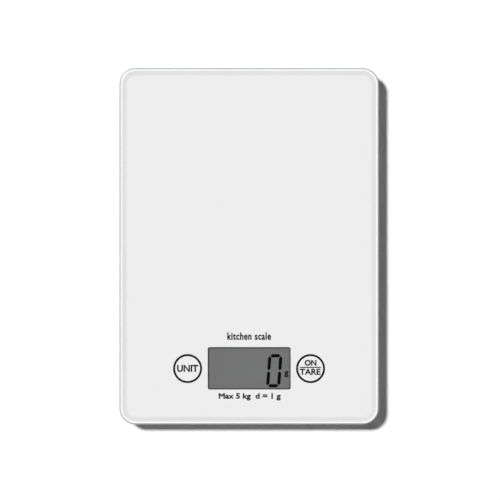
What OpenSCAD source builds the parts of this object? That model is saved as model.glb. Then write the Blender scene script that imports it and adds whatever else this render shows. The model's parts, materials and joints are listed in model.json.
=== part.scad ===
// Slim electronic kitchen scale: a printed glass platform on a single load cell over a shallow base.
// Origin: centre of the footprint, on the surface the feet stand on. +X right, +Y back, +Z up.
// The display is at the front, -Y.

/* [Glass platform] */
// Width of the glass, side to side
glass_w = 142; // [138:1:150]
// Depth of the glass, front to back
glass_d = 195; // [192:1:205]
// Thickness of the glass
glass_t = 4; // [4:0.5:5]
// Radius of the glass's corners, seen from above
glass_corner_r = 9; // [7:0.5:12]
// Radius ground onto the upper edge
glass_top_edge_r = 1.3; // [0.8:0.1:1.8]
// Width of the margin that the shallow bevel takes up
glass_bevel_w = 3.8; // [2:0.1:6]
// Drop of the shallow bevel towards the edge
glass_bevel_h = 0.35; // [0.2:0.05:0.8]
// Radius ground onto the lower edge
glass_bottom_edge_r = 0.8; // [0.4:0.1:1.2]
// How far the printed film stops inside the edge
film_inset = 0.6; // [0.4:0.1:1]
// Thickness of the printed film
film_t = 0.2; // [0.1:0.05:0.2]
// Thickness of the foam tape under the film
tape_t = 0.6; // [0.5:0.1:1]
// Width of a foam tape strip
tape_w = 9; // [6:0.5:10]

/* [Platform plate] */
// Width of the steel plate
plate_w = 108; // [104:1:112]
// Front edge of the plate
plate_front = -42; // [-44:1:-40]
// Rear edge of the plate
plate_rear = 76; // [74:1:80]
// Thickness of the plate
plate_t = 1.2; // [1:0.1:1.5]
// Diameter of a lightening hole
plate_hole_d = 15; // [8:1:16]
// Height of a stiffening rib under the plate
plate_rib_h = 1.2; // [0.8:0.1:1.6]

/* [Base shell] */
// How far the rim stands inside the glass's edge
rim_inset = 4; // [3:0.5:5]
// Open gap between the rim and the glass
rim_gap = 1.2; // [1:0.1:1.5]
// Corner radius of the rim, seen from above
rim_corner_r = 15; // [13:0.5:16]
// Radius of the curve from the floor up to the rim
side_r = 6.3; // [6:0.1:6.5]
// Wall and floor thickness
wall_t = 1.8; // [1.6:0.1:1.8]
// Height of the floor ribs
floor_rib_h = 1.2; // [1:0.1:1.8]
// Thickness of the floor ribs
floor_rib_t = 1.2; // [0.8:0.1:1.6]
// Diameter of an overload post
post_d = 7; // [5:0.5:9]
// Width of the blank label recess in the underside
label_w = 52; // [40:1:60]
// Depth of that recess, fore and aft
label_d = 24; // [16:1:28]
// Centre of the recess, in front of the middle of the base
label_y = -48; // [-50:1:-44]

/* [Feet] */
// Diameter of a foot
foot_d = 12; // [10:0.5:14]
// How far the feet hold the base off the table
foot_drop = 1.2; // [1:0.1:1.5]
// Depth of the recess that holds a foot
foot_recess = 0.9; // [0.6:0.1:1]
// Distance from the centre to a foot, sideways
foot_x = 48; // [44:1:50]
// Distance from the centre to a foot, fore and aft
foot_y = 75; // [72:1:77]

/* [Load cell] */
// Length of the beam
cell_l = 47; // [46:1:48]
// Width of the beam
cell_w = 12; // [12:0.5:13]
// Height of the beam
cell_h = 6; // [6:0.1:6.2]
// Diameter of each of the two joined holes that make the thin webs
cell_eye_d = 4.6; // [4:0.1:4.8]
// Distance from the beam's middle to each of those holes
cell_eye_y = 5; // [4.5:0.1:5.5]
// Distance from the beam's end to its outer screw
cell_screw_end = 4; // [3.5:0.1:4.5]
// Distance between the two screws of one end
cell_screw_pitch = 7; // [6.5:0.1:7.5]
// How far the platform sinks under full load
travel = 0.35; // [0.2:0.05:0.35]

/* [Display] */
// Width of the display window
window_w = 45.2; // [40:0.1:46]
// Height of the display window
window_d = 23; // [20:0.1:23.4]
// Centre of the display and the keys, measured from the front edge of the glass
display_from_front = 30.7; // [30:0.1:33]
// Width of the display glass
lcd_w = 50; // [49:0.5:51]
// Height of the front display glass, with its two contact ledges
lcd_d = 28; // [27.5:0.5:28.5]
// Thickness of one display glass
lcd_glass_t = 1.1; // [0.7:0.1:1.1]
// Width of the circuit board
board_w = 92; // [90:1:94]
// Depth of the circuit board
board_d = 34; // [34:0.5:35]
// Thickness of the circuit board
board_t = 1; // [0.8:0.1:1.2]

/* [Touch keys] */
// Distance from the display's centre to each key
key_x = 33.6; // [32:0.1:35]
// Diameter of a touch spring at its wide end
key_spring_d = 10; // [8:0.5:10]
// Diameter of its wire
key_spring_wire = 0.5; // [0.4:0.1:0.6]
// Number of turns
key_spring_turns = 3.5; // [2.5:0.5:4]

/* [Battery] */
// Diameter of the coin cell
coin_d = 20; // [19:0.5:20]
// Thickness of the coin cell
coin_t = 3.2; // [2.5:0.1:3.2]
// Centre of the battery bay, behind the middle of the base
bay_y = 58; // [56:1:59]
// Width of the battery door
door_w = 25.6; // [25:0.2:26]
// Length of the battery door, from its latch edge to its hinge axis
door_l = 28; // [27:0.5:28]
// Thickness of the battery door
door_t = 1.4; // [1.2:0.1:1.4]

/* [Wires] */
// Diameter of a supply wire
supply_wire_d = 1.2; // [1:0.1:1.3]
// Diameter of a load cell wire
cell_wire_d = 0.8; // [0.6:0.1:0.9]
// Distance between two load cell wires
wire_pitch = 1.6; // [1.6:0.1:1.8]

/* [Hidden] */
$fn = 64;

// Clearances
fit = 0.1;          // between pieces that lie in each other
thread_fit = 0.05;  // between a screw and its hole
cut = 1;            // how far a cutting solid runs past a face

// Heights, from the table up
base_z = foot_drop;
floor_z = base_z + wall_t;
cell_lift = 0.5;
cell_z = floor_z + cell_lift;
cell_top = cell_z + cell_h;
spacer_t = 0.5;
plate_z = cell_top + spacer_t;
plate_top = plate_z + plate_t;
film_z = plate_top + tape_t;
glass_z = film_z + film_t;
scale_h = glass_z + glass_t;
rim_z = glass_z - rim_gap;

// Base outline: the corner axes, and the centre of the curve from the floor to the rim
rim_cx = glass_w / 2 - rim_inset - rim_corner_r;
rim_cy = glass_d / 2 - rim_inset - rim_corner_r;
curve_x = rim_corner_r - side_r;
curve_z = base_z + side_r;
rim_round = 0.6;
label_sink = 0.25;

// Screws of the load cell, M3 with countersunk heads
m3_r = 1.5;
m3_head_r = 2.75;
m3_head_rim = 0.3;
m3_clear_r = 2.1;
cell_screw_y = [for (i = [0, 1]) cell_l / 2 - cell_screw_end - i * cell_screw_pitch];
relief_depth = 0.5;
relief_margin = 1.2;

// Steel plate under the fixed end
base_plate_t = relief_depth + cell_lift;
base_plate_w = 28;
base_plate_front = 9.5;
base_plate_rear = 30;

// Display stack, from the film down
display_y = -glass_d / 2 + display_from_front;
frame_tape_t = 0.2;
frame_top = film_z - frame_tape_t;
frame_roof_t = 1;
polariser_t = 0.2;
polariser_top = film_z - 0.05;
lcd_front_z = polariser_top - polariser_t - lcd_glass_t;
lcd_rear_z = lcd_front_z - lcd_glass_t;
reflector_z = lcd_rear_z - polariser_t;
lcd_ledge = 2.3;
board_z = 7.6;
board_top = board_z + board_t;
frame_wall = 1.2;
frame_w = board_w + 2 * frame_wall + 2 * 0.4;
frame_d = board_d + 2 * frame_wall + 2 * 0.4;
frame_bottom = board_z - 0.4;
board_screw_x = board_w / 2 - 3.5;
board_screw_y = board_d / 2 - 3.5;
board_screw_r = 1;

// Battery bay
bay_latch_y = bay_y - 14.5;
hinge_y = bay_latch_y + door_l;
hinge_r = 1;
hinge_z = base_z + hinge_r;
trunnion_r = 0.7;
trunnion_l = 1.4;
trunnion_play = 0.06;
door_gap = 0.2;
bay_w = door_w + 6.4;
bay_rear = hinge_y + hinge_r + 3;
bay_front = bay_latch_y - 3.5;
seat_z = base_z + door_t + 0.3;
seat_t = 1.2;
pocket_r = coin_d / 2 + 0.4;
pocket_wall = 1.2;
coin_z = seat_z;
roof_z = coin_z + coin_t + 0.9;
roof_t = 1.2;
contact_t = 0.3;
positive_w = 3;
negative_w = 4;

// Lowest free level for a wire that crosses the floor ribs
wire_z = floor_z + floor_rib_h + 0.75;

white_abs = [0.93, 0.93, 0.92];
steel = [0.72, 0.73, 0.75];
dark_rubber = [0.16, 0.16, 0.17];

// ---- Shared shapes -------------------------------------------------------------------------

// Outline of a rectangle with rounded corners, centred on the origin
module rounded_outline(w, d, r) {
    square([w - 2 * r, d], center = true);
    square([w, d - 2 * r], center = true);
    for (sx = [-1, 1], sy = [-1, 1])
        translate([sx * (w / 2 - r), sy * (d / 2 - r)])
            circle(r);
}

module rounded_plate(w, d, r, t) {
    linear_extrude(t)
        rounded_outline(w, d, r);
}

// Sweeps a profile (x outwards, y up) round a rectangle whose corner axes stand at +-cx, +-cy
module swept_rim(cx, cy) {
    for (side = [0:3]) {
        out = side % 2 == 0 ? cx : cy;
        along = side % 2 == 0 ? cy : cx;
        rotate(90 * side)
            translate([out, along, 0]) {
                rotate([90, 0, 0])
                    linear_extrude(2 * along)
                        children();
                rotate_extrude(angle = 90)
                    children();
            }
    }
}

// A box between two corners
module block(low, high) {
    translate(low)
        cube(high - low);
}

module rod(r, z0, z1) {
    translate([0, 0, z0])
        cylinder(r = r, h = z1 - z0);
}

// Solid of a countersunk screw, head up, with its head's face at z = 0; grow widens it all over
module countersunk(shank_l, grow) {
    head_r = m3_head_r + grow;
    shank_r = m3_r + grow;
    rod(head_r, -m3_head_rim, 0);
    translate([0, 0, -m3_head_rim - (head_r - shank_r)])
        cylinder(r1 = shank_r, r2 = head_r, h = head_r - shank_r);
    rod(shank_r, -shank_l, -m3_head_rim);
}

// A cross recess, cut down from z = 0
module cross_recess(size, depth) {
    for (turn = [0, 90])
        rotate(turn)
            translate([0, 0, -depth])
                linear_extrude(depth + cut)
                    square([size, size / 4], center = true);
}

// ---- Tubes along a route ---------------------------------------------------------------------

function unit(v) = v / norm(v);

// One point of a smooth curve between points b and c, at t from 0 to 1
function smooth_point(a, b, c, d, t) =
    b + 0.5 * t * (c - a + t * (2 * a - 5 * b + 4 * c - d + t * (3 * (b - c) + d - a)));

// The curve through all the points, with the given number of steps between two of them
function smooth_route(p, steps) = concat(
    [for (i = [0:len(p) - 2], k = [0:steps - 1])
        smooth_point(p[max(i - 1, 0)], p[i], p[i + 1], p[min(i + 2, len(p) - 1)], k / steps)],
    [p[len(p) - 1]]);

function tangent(p, i) = unit(p[min(i + 1, len(p) - 1)] - p[max(min(i, len(p) - 1) - 1, 0)]);

function square_to(v, t) = unit(v - (v * t) * t);

// Directions square to the route, carried along it without twist
function side_directions(p, first) = [
    for (i = 0, n = square_to(first, tangent(p, 0)); i < len(p);
         i = i + 1, n = square_to(n, tangent(p, i)))
    n];

// A closed tube of radius r along the points p
module tube(p, r, sides, first) {
    dirs = side_directions(p, first);
    points = [
        for (i = [0:len(p) - 1])
        let (t = tangent(p, i), n = dirs[i], b = cross(t, n))
        for (j = [0:sides - 1])
        p[i] + r * (cos(360 * j / sides) * n + sin(360 * j / sides) * b)];
    walls = [
        for (i = [0:len(p) - 2], j = [0:sides - 1])
        let (k = (j + 1) % sides)
        [i * sides + j, (i + 1) * sides + j, (i + 1) * sides + k, i * sides + k]];
    start = [for (j = [0:sides - 1]) j];
    end = [for (j = [sides - 1:-1:0]) (len(p) - 1) * sides + j];
    polyhedron(points, concat([start], walls, [end]));
}

// ---- Platform ----------------------------------------------------------------------------------

// Round-over at the side, then a shallow bevel up to the flat top
module glass_edge_profile() {
    r_bottom = glass_bottom_edge_r;
    bevel_x = glass_corner_r - glass_bevel_w;
    shoulder_x = glass_corner_r - glass_top_edge_r;
    shoulder_z = glass_t - glass_bevel_h;
    translate([0, glass_z])
        difference() {
            union() {
                square([shoulder_x, shoulder_z]);
                square([glass_corner_r, shoulder_z - glass_top_edge_r]);
                translate([shoulder_x, shoulder_z - glass_top_edge_r])
                    circle(glass_top_edge_r);
                polygon([
                    [0, shoulder_z - cut],
                    [0, glass_t],
                    [bevel_x, glass_t],
                    [shoulder_x, shoulder_z],
                    [shoulder_x, shoulder_z - cut]
                ]);
            }
            translate([glass_corner_r - r_bottom, -cut])
                difference() {
                    square([r_bottom + cut, r_bottom + cut]);
                    translate([0, r_bottom + cut])
                        circle(r_bottom);
                }
        }
}

module glass_platform() {
    cx = glass_w / 2 - glass_corner_r;
    cy = glass_d / 2 - glass_corner_r;
    color([0.85, 0.93, 0.92, 0.5]) {
        swept_rim(cx, cy)
            glass_edge_profile();
        block([-cx, -cy, glass_z], [cx, cy, scale_h]);
    }
}

module printed_film() {
    color([0.95, 0.95, 0.95])
        translate([0, 0, film_z])
            linear_extrude(film_t)
                difference() {
                    rounded_outline(glass_w - 2 * film_inset, glass_d - 2 * film_inset,
                                    glass_corner_r - film_inset);
                    translate([0, display_y])
                        rounded_outline(window_w, window_d, 1);
                }
}

// Two long strips at the plate's sides and two short ones between them
module mounting_tape() {
    edge = 2;
    side_x = plate_w / 2 - edge - tape_w / 2;
    mid_y = (plate_front + plate_rear) / 2;
    long = plate_rear - plate_front - 2 * edge;
    short = 2 * side_x - tape_w - 8;
    color([0.86, 0.86, 0.84])
        translate([0, mid_y, plate_top])
            linear_extrude(tape_t) {
                for (s = [-1, 1]) {
                    translate([s * side_x, 0])
                        square([tape_w, long], center = true);
                    translate([0, s * (long - tape_w) / 2])
                        square([short, tape_w], center = true);
                }
            }
}

module platform_plate() {
    rib_x = [-44, -26, 26, 44];
    rib_w = 3;
    rib_margin = 14;
    hole_x = 35;
    corner_r = 6;
    window_w = 15;
    window_rear = 29;
    color(steel)
        difference() {
            union() {
                translate([0, (plate_front + plate_rear) / 2, plate_z])
                    rounded_plate(plate_w, plate_rear - plate_front, corner_r, plate_t);
                for (x = rib_x)
                    block([x - rib_w / 2, plate_front + rib_margin, plate_z - plate_rib_h],
                          [x + rib_w / 2, plate_rear - rib_margin, plate_z + plate_t / 2]);
            }
            for (sx = [-1, 1], y = [-16, 17, 50])
                translate([sx * hole_x, y])
                    rod(plate_hole_d / 2, plate_z - cut, plate_top + cut);
            block([-window_w / 2, -cell_eye_y - 3, plate_z - cut],
                  [window_w / 2, window_rear, plate_top + cut]);
            for (y = cell_screw_y)
                translate([0, -y, plate_top])
                    countersunk(plate_t + cut, fit);
        }
}

module platform_spacer() {
    color(steel)
        difference() {
            block([-cell_w / 2, -cell_l / 2, cell_top],
                  [cell_w / 2, -cell_l / 2 + 2 * cell_screw_end + cell_screw_pitch - 1, plate_z]);
            for (y = cell_screw_y)
                translate([0, -y])
                    rod(m3_clear_r, cell_top - cut, plate_z + cut);
        }
}

module platform_screws() {
    color(steel)
        for (y = cell_screw_y)
            translate([0, -y, plate_top - 0.05])
                difference() {
                    countersunk(6, 0);
                    cross_recess(2.8, 0.9);
                }
}

// ---- Load cell -----------------------------------------------------------------------------------

module load_cell() {
    mid_z = cell_z + cell_h / 2;
    slot_h = 2;
    color([0.8, 0.81, 0.83])
        difference() {
            block([-cell_w / 2, -cell_l / 2, cell_z], [cell_w / 2, cell_l / 2, cell_top]);
            for (s = [-1, 1])
                translate([-cell_w / 2 - cut, s * cell_eye_y, mid_z])
                    rotate([0, 90, 0])
                        cylinder(r = cell_eye_d / 2, h = cell_w + 2 * cut);
            block([-cell_w / 2 - cut, -cell_eye_y, mid_z - slot_h / 2],
                  [cell_w / 2 + cut, cell_eye_y, mid_z + slot_h / 2]);
            for (s = [-1, 1], y = cell_screw_y)
                translate([0, s * y])
                    rod(m3_r + thread_fit, cell_z - cut, cell_top + cut);
        }
}

gauge_w = 3.6;
gauge_l = 5.4;
gauge_t = 0.08;

// One solid above each eye of the beam and one below it
module on_webs(half_w, half_l, t) {
    for (s = [-1, 1]) {
        block([-half_w, s * cell_eye_y - half_l, cell_top],
              [half_w, s * cell_eye_y + half_l, cell_top + t]);
        block([-half_w, s * cell_eye_y - half_l, cell_z - t],
              [half_w, s * cell_eye_y + half_l, cell_z]);
    }
}

module strain_gauges() {
    color([0.78, 0.5, 0.2])
        on_webs(gauge_w / 2, gauge_l / 2, gauge_t);
}

module gauge_sealant() {
    half_w = cell_w / 2 - 0.6;
    half_l = cell_eye_y + gauge_l / 2 - 0.3;
    top_t = 0.6;
    bottom_t = 0.4;
    color([0.95, 0.95, 0.93])
        difference() {
            union() {
                translate([0, 0, cell_top])
                    rounded_plate(2 * half_w, 2 * half_l, 1.5, top_t);
                translate([0, 0, cell_z - bottom_t])
                    rounded_plate(2 * half_w, 2 * half_l, 1.5, bottom_t);
            }
            on_webs(gauge_w / 2, gauge_l / 2, gauge_t);
        }
}

module load_cell_base_plate() {
    mid_y = (base_plate_front + base_plate_rear) / 2;
    color(steel)
        difference() {
            translate([0, mid_y, cell_z - base_plate_t])
                rounded_plate(base_plate_w, base_plate_rear - base_plate_front, 2, base_plate_t);
            for (y = cell_screw_y)
                translate([0, y])
                    rod(m3_clear_r, cell_z - base_plate_t - cut, cell_z + cut);
        }
}

module load_cell_screws() {
    color(steel)
        for (y = cell_screw_y)
            translate([0, y, base_z + 0.1])
                mirror([0, 0, 1])
                    difference() {
                        countersunk(cell_z + cell_h - 0.4 - base_z, 0);
                        cross_recess(2.8, 0.9);
                    }
}

// The gauge bridge's wires leave the sealant's side and run forward side by side to the board
module load_cell_wire(place, tint) {
    lane = 9.6 + place * wire_pitch;
    start_y = (place - 1.5) * wire_pitch;
    color(tint)
        tube(smooth_route([
            [cell_w / 2 + 0.3, start_y, cell_z + 4.4],
            [cell_w / 2 + 1.2, start_y - 0.3, cell_z + 4.1],
            [lane, -8, wire_z + 0.4],
            [lane, -20, wire_z],
            [lane, -34, wire_z],
            [lane + 0.5, -46, wire_z - 0.1],
            [lane + 1, -51, wire_z + 0.4],
            [lane + 1.2, -52.6, board_z - 0.3],
        ], 5), cell_wire_d / 2, 8, [1, 0, 0]);
}

module load_cell_wire_red() {
    load_cell_wire(0, "red");
}

module load_cell_wire_black() {
    load_cell_wire(1, "dimgray");
}

module load_cell_wire_white() {
    load_cell_wire(2, "white");
}

module load_cell_wire_green() {
    load_cell_wire(3, "green");
}

// ---- Display -------------------------------------------------------------------------------------

module at_display(z) {
    translate([0, display_y, z])
        children();
}

module at_board_screws() {
    for (sx = [-1, 1], sy = [-1, 1])
        translate([sx * board_screw_x, sy * board_screw_y])
            children();
}

// A tray with its floor upwards: a roof with the display's opening, a skirt and four screw bosses
module display_frame() {
    spring_hole_r = key_spring_d / 2 + 1;
    boss_r = 2.3;
    color([0.9, 0.9, 0.9])
        at_display(0)
            difference() {
                union() {
                    translate([0, 0, frame_bottom])
                        difference() {
                            rounded_plate(frame_w, frame_d, 3, frame_top - frame_bottom);
                            translate([0, 0, -cut])
                                rounded_plate(frame_w - 2 * frame_wall, frame_d - 2 * frame_wall, 1.8,
                                              frame_top - frame_bottom - frame_roof_t + cut);
                        }
                    at_board_screws()
                        rod(boss_r, board_top, frame_top - frame_roof_t / 2);
                }
                translate([0, 0, frame_bottom])
                    linear_extrude(frame_top)
                        square([lcd_w + 0.6, lcd_d + 0.6], center = true);
                for (s = [-1, 1])
                    translate([s * key_x, 0])
                        rod(spring_hole_r, frame_bottom, frame_top + cut);
                at_board_screws()
                    rod(board_screw_r + thread_fit, frame_bottom, frame_top - 0.6);
            }
}

// Four thin adhesive strips on the frame's roof
module frame_tape() {
    strip = 2;
    color([0.9, 0.85, 0.7])
        at_display(frame_top)
            linear_extrude(frame_tape_t)
                for (s = [-1, 1]) {
                    translate([0, s * (frame_d / 2 - 0.4 - strip / 2)])
                        square([frame_w - 8, strip], center = true);
                    translate([s * (frame_w / 2 - 0.4 - strip / 2), 0])
                        square([strip, frame_d - 12], center = true);
                }
}

module lcd_front_polariser() {
    color([0.45, 0.46, 0.45])
        at_display(polariser_top - polariser_t)
            rounded_plate(lcd_w - 1, lcd_d - 2 * lcd_ledge, 0.4, polariser_t);
}

module lcd_front_glass() {
    color([0.75, 0.8, 0.78, 0.6])
        at_display(lcd_front_z)
            rounded_plate(lcd_w, lcd_d, 0.3, lcd_glass_t);
}

module lcd_rear_glass() {
    color([0.75, 0.8, 0.78, 0.6])
        at_display(lcd_rear_z)
            rounded_plate(lcd_w, lcd_d - 2 * lcd_ledge, 0.3, lcd_glass_t);
}

module lcd_rear_reflector() {
    color([0.6, 0.62, 0.6])
        at_display(reflector_z)
            rounded_plate(lcd_w - 1, lcd_d - 2 * lcd_ledge - 0.6, 0.4, polariser_t);
}

module zebra_strips() {
    color([0.85, 0.6, 0.62])
        for (s = [-1, 1])
            at_display(board_top)
                translate([0, s * (lcd_d / 2 - lcd_ledge / 2), 0])
                    linear_extrude(lcd_front_z - board_top)
                        square([lcd_w - 4, 1.6], center = true);
}

module circuit_board() {
    color([0.1, 0.4, 0.2])
        at_display(board_z)
            difference() {
                rounded_plate(board_w, board_d, 1.5, board_t);
                at_board_screws()
                    rod(board_screw_r + 0.2, -cut, board_t + cut);
            }
}

// Pan-head self-tapping screws, driven upwards
module board_screws() {
    head_r = 1.9;
    head_h = 1.1;
    color(steel)
        at_display(board_z)
            at_board_screws()
                difference() {
                    union() {
                        rod(head_r, -head_h, 0);
                        rod(board_screw_r, -head_h / 2, frame_top - board_z - 0.9);
                    }
                    translate([0, 0, -head_h])
                        mirror([0, 0, 1])
                            cross_recess(2, 0.7);
                }
}

// A coil that widens upwards and ends in a level turn against the film
module touch_spring(side) {
    steps_per_turn = 16;
    steps = key_spring_turns * steps_per_turn;
    r_wire = key_spring_wire / 2;
    r_top = key_spring_d / 2 - r_wire;
    r_foot = 0.6 * r_top;
    z_foot = board_top + r_wire;
    z_top = film_z - r_wire - 0.02;
    level = steps_per_turn;
    rise = [for (i = [0:steps]) min(i / (steps - level), 1)];
    color([0.8, 0.8, 0.82])
        translate([side * key_x, display_y])
            tube([for (i = [0:steps])
                     let (a = 360 * i / steps_per_turn, r = r_foot + (r_top - r_foot) * rise[i])
                     [r * cos(a), r * sin(a), z_foot + (z_top - z_foot) * rise[i]]],
                 r_wire, 6, [1, 0, 0]);
}

module touch_spring_left() {
    touch_spring(-1);
}

module touch_spring_right() {
    touch_spring(1);
}

// Parts on the board's underside

module chip_glob_top() {
    cap_r = 5.5;
    cap_h = 1.3;
    ball_r = (cap_r * cap_r + cap_h * cap_h) / (2 * cap_h);
    color([0.08, 0.08, 0.08])
        translate([-14, display_y - 2, board_z])
            rotate_extrude()
                intersection() {
                    translate([0, ball_r - cap_h])
                        circle(ball_r);
                    translate([0, -cap_h])
                        square([cap_r, cap_h]);
                }
}

module converter_chip() {
    legs = 8;
    pitch = 1.27;
    body_w = 3.9;
    body_l = 9.9;
    body_h = 1.4;
    leg_reach = 3;
    leg_w = 0.42;
    leg_t = 0.25;
    color([0.12, 0.12, 0.12])
        translate([12, display_y - 1, board_z])
            rotate([180, 0, 0]) {
                block([-body_l / 2, -body_w / 2, 0.1], [body_l / 2, body_w / 2, 0.1 + body_h]);
                for (i = [0:legs - 1], s = [-1, 1]) {
                    x = (i - (legs - 1) / 2) * pitch;
                    low_y = s < 0 ? -leg_reach : body_w / 2 - 0.2;
                    foot_y0 = s < 0 ? -leg_reach : leg_reach - 0.7;
                    block([x - leg_w / 2, low_y, 0.6],
                          [x + leg_w / 2, low_y + leg_reach - body_w / 2 + 0.2, 0.6 + leg_t]);
                    block([x - leg_w / 2, foot_y0, 0], [x + leg_w / 2, foot_y0 + 0.7, 0.6 + leg_t]);
                }
            }
}

module chip_grid(columns, rows, origin, pitch, size) {
    for (i = [0:columns - 1], j = [0:rows - 1])
        translate([origin.x + i * pitch.x, display_y + origin.y + j * pitch.y, board_z - size.z])
            cube(size);
}

module board_capacitors() {
    color([0.72, 0.55, 0.36]) {
        chip_grid(3, 2, [2.5, 5.5], [3.2, 2.6], [1.6, 0.8, 0.8]);
        chip_grid(2, 1, [-26, -8], [4, 1], [2, 1.25, 1]);
    }
}

module board_resistors() {
    color([0.1, 0.1, 0.1]) {
        chip_grid(4, 2, [14, 5.5], [3, 2.6], [1.6, 0.8, 0.45]);
        chip_grid(3, 1, [-20, 7], [3, 1], [1.6, 0.8, 0.45]);
    }
}

// ---- Base --------------------------------------------------------------------------------------------

// Floor strip, quarter-round side and upright rim, all one wall thick
module base_wall_profile() {
    translate([0, base_z])
        square([curve_x, wall_t]);
    translate([curve_x, curve_z])
        intersection() {
            difference() {
                circle(side_r);
                circle(side_r - wall_t);
            }
            translate([0, -side_r])
                square(side_r);
        }
    difference() {
        translate([rim_corner_r - wall_t, curve_z])
            square([wall_t, rim_z - curve_z]);
        translate([rim_corner_r - rim_round, rim_z - rim_round])
            difference() {
                square(rim_round + cut);
                circle(rim_round);
            }
    }
}

module at_feet() {
    for (sx = [-1, 1], sy = [-1, 1])
        translate([sx * foot_x, sy * foot_y])
            children();
}

module floor_ribs() {
    top = floor_z + floor_rib_h;
    half = floor_rib_t / 2;
    reach_x = rim_cx + 4;
    reach_y = rim_cy + 4;
    inner_x = 22;
    for (sx = [-1, 1], x = [inner_x, 38])
        block([sx * x - half, -reach_y, base_z + 1], [sx * x + half, reach_y, top]);
    for (sx = [-1, 1], y = [-60, -30, 0, 30, 60])
        block([sx > 0 ? inner_x : -reach_x, y - half, base_z + 1],
              [sx > 0 ? reach_x : -inner_x, y + half, top]);
    for (y = [-60, -38])
        block([-inner_x, y - half, base_z + 1], [inner_x, y + half, top]);
}

module overload_posts() {
    top = plate_z - travel - 0.1;
    inset_x = 4;
    inset_y = 8;
    for (sx = [-1, 1], y = [plate_front + inset_y, plate_rear - inset_y])
        translate([sx * (plate_w / 2 - inset_x), y, 0]) {
            rod(post_d / 2, base_z + 1, top);
            translate([0, 0, floor_z - 0.1])
                cylinder(r1 = post_d / 2 + 1, r2 = post_d / 2, h = 1);
        }
}

// The solid parts of the battery bay: a seat round the cell, and a capped ring over it
module bay_walls() {
    translate([0, (bay_front + bay_rear) / 2, base_z + 1])
        rounded_plate(bay_w, bay_rear - bay_front, 2, seat_z + seat_t - base_z - 1);
    translate([0, bay_y])
        rod(pocket_r + pocket_wall, base_z + 1, roof_z + roof_t);
}

module bay_cuts() {
    mouth_w = door_w + 2 * door_gap;
    notch_r = 4;
    // The door's opening, from the latch edge to behind the hinge barrel
    block([-mouth_w / 2, bay_latch_y - door_gap, base_z - cut],
          [mouth_w / 2, hinge_y + hinge_r + door_gap, seat_z]);
    // Room above the hinge barrel
    block([-mouth_w / 2, hinge_y - hinge_r - 1, base_z - cut],
          [mouth_w / 2, hinge_y + hinge_r + door_gap, hinge_z + hinge_r + 0.3]);
    // Finger notch at the latch edge
    translate([0, bay_latch_y - door_gap, base_z - 2.2])
        sphere(notch_r);
    translate([0, bay_y])
        rod(pocket_r, base_z - cut, roof_z);
    // Holes for the door's two trunnions
    translate([-mouth_w / 2 - trunnion_l, hinge_y, hinge_z])
        rotate([0, 90, 0])
            cylinder(r = trunnion_r + trunnion_play, h = mouth_w + 2 * trunnion_l);
    // Ways out for the contacts: forward for the positive, to the left for the negative
    block([-positive_w / 2 - fit, bay_y - pocket_r - pocket_wall - cut, seat_z + seat_t],
          [positive_w / 2 + fit, bay_y - pocket_r + 2, roof_z]);
    block([-positive_w / 2 - fit, bay_y - pocket_r - 0.4, seat_z + 0.6],
          [positive_w / 2 + fit, bay_y - pocket_r + 2, seat_z + seat_t + fit]);
    block([-pocket_r - pocket_wall - cut, bay_y - negative_w / 2 - fit, roof_z - 0.5],
          [-pocket_r + 2, bay_y + negative_w / 2 + fit, roof_z]);
}

module base_shell() {
    color(white_abs)
        difference() {
            union() {
                swept_rim(rim_cx, rim_cy)
                    base_wall_profile();
                block([-rim_cx, -rim_cy, base_z], [rim_cx, rim_cy, floor_z]);
                floor_ribs();
                overload_posts();
                bay_walls();
                at_feet()
                    rod(foot_d / 2 + 1.5, base_z + 1, floor_z + 0.6);
            }
            at_feet()
                rod(foot_d / 2 + fit, base_z - cut, base_z + foot_recess);
            translate([0, label_y, base_z - cut])
                rounded_plate(label_w, label_d, 2, cut + label_sink);
            // Relief under the beam's middle and free end
            block([-cell_w / 2 - relief_margin, -cell_l / 2 - relief_margin, floor_z - relief_depth],
                  [cell_w / 2 + relief_margin, base_plate_front - 1, floor_z + cut]);
            // Seat of the steel plate
            translate([0, (base_plate_front + base_plate_rear) / 2, floor_z - relief_depth])
                rounded_plate(base_plate_w + 2 * fit, base_plate_rear - base_plate_front + 2 * fit,
                              2 + fit, relief_depth + cut);
            for (y = cell_screw_y)
                translate([0, y, base_z]) {
                    mirror([0, 0, 1])
                        countersunk(wall_t + cut, fit);
                    rod(m3_head_r + fit, -cut, m3_head_rim);
                }
            bay_cuts();
        }
}

// A disc with a rounded lower edge and a shallow ring groove
module foot() {
    edge_r = 0.6;
    groove_r = foot_d / 2 - 2.2;
    color(dark_rubber)
        rotate_extrude()
            difference() {
                union() {
                    square([foot_d / 2 - edge_r, foot_drop + foot_recess]);
                    translate([0, edge_r])
                        square([foot_d / 2, foot_drop + foot_recess - edge_r]);
                    translate([foot_d / 2 - edge_r, edge_r])
                        circle(edge_r);
                }
                translate([groove_r, 0])
                    circle(0.45);
            }
}

module foot_front_left() {
    translate([-foot_x, -foot_y])
        foot();
}

module foot_front_right() {
    translate([foot_x, -foot_y])
        foot();
}

module foot_rear_left() {
    translate([-foot_x, foot_y])
        foot();
}

module foot_rear_right() {
    translate([foot_x, foot_y])
        foot();
}

// ---- Battery ---------------------------------------------------------------------------------------

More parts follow.
